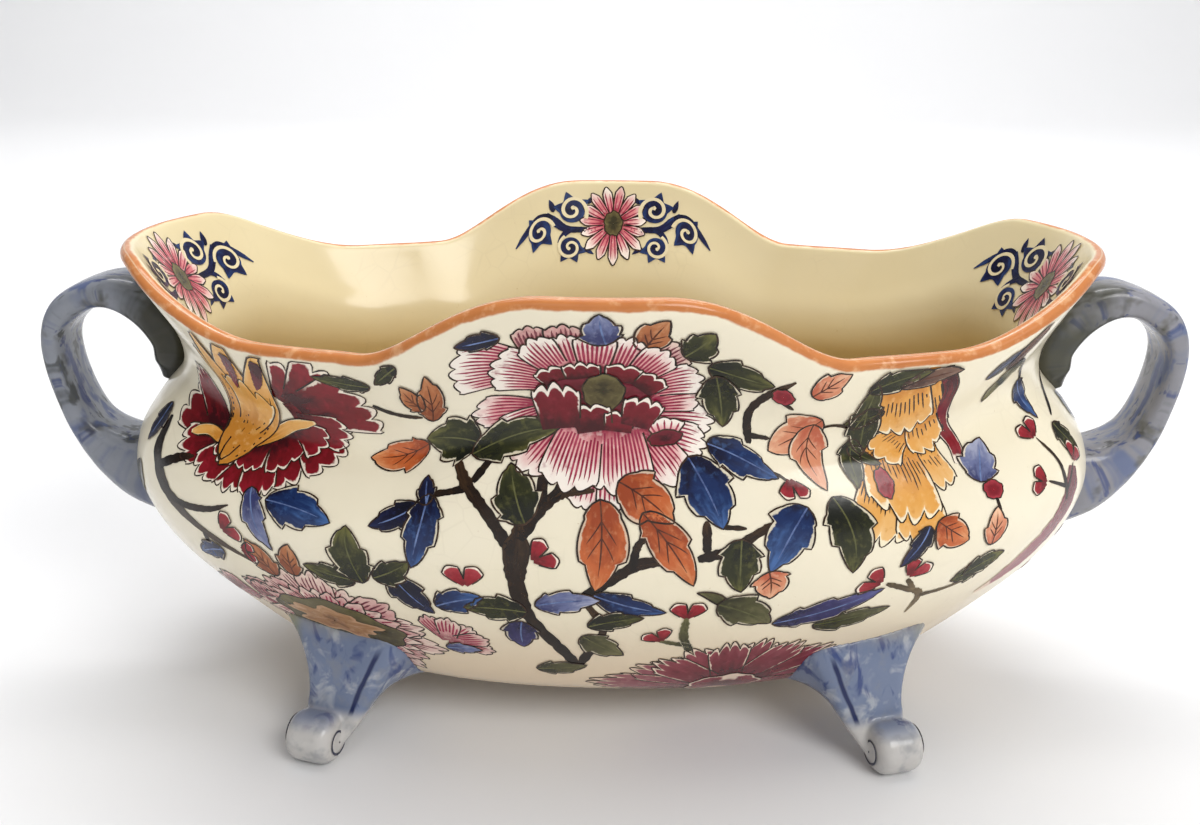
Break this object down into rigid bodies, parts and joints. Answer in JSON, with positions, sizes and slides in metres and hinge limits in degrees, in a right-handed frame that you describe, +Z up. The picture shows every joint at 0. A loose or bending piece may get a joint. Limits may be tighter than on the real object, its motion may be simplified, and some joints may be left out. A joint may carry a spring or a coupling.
{
  "type": "serving bowl",
  "caption": "Oval footed serving bowl in painted glazed ceramic, with a wavy flared rim, a pinched neck, a strap handle at each end and scroll feet under a round belly.",
  "frame": {"origin": "on the surface the bowl stands on, under the middle of its outer box", "axes": "+X along the length towards the right-hand handle, +Y from the front towards the back, +Z up"},
  "size_m": [0.4674, 0.2378, 0.1951],
  "materials": {
    "body_glaze": "warm cream gloss glaze over underglaze painting, with a mottled orange band on the rim",
    "sponged_glaze": "blue-grey sponged gloss glaze with olive and dark blue patches",
    "foot_glaze": "pale blue-grey brushed gloss glaze with dark blue edge lines"
  },
  "bodies": {
    "root": {"bowl": "body_glaze", "handle_left": "sponged_glaze", "handle_right": "sponged_glaze", "foot_front_left": "foot_glaze", "foot_front_right": "foot_glaze", "foot_back_left": "foot_glaze", "foot_back_right": "foot_glaze"}
  },
  "joints": []
}
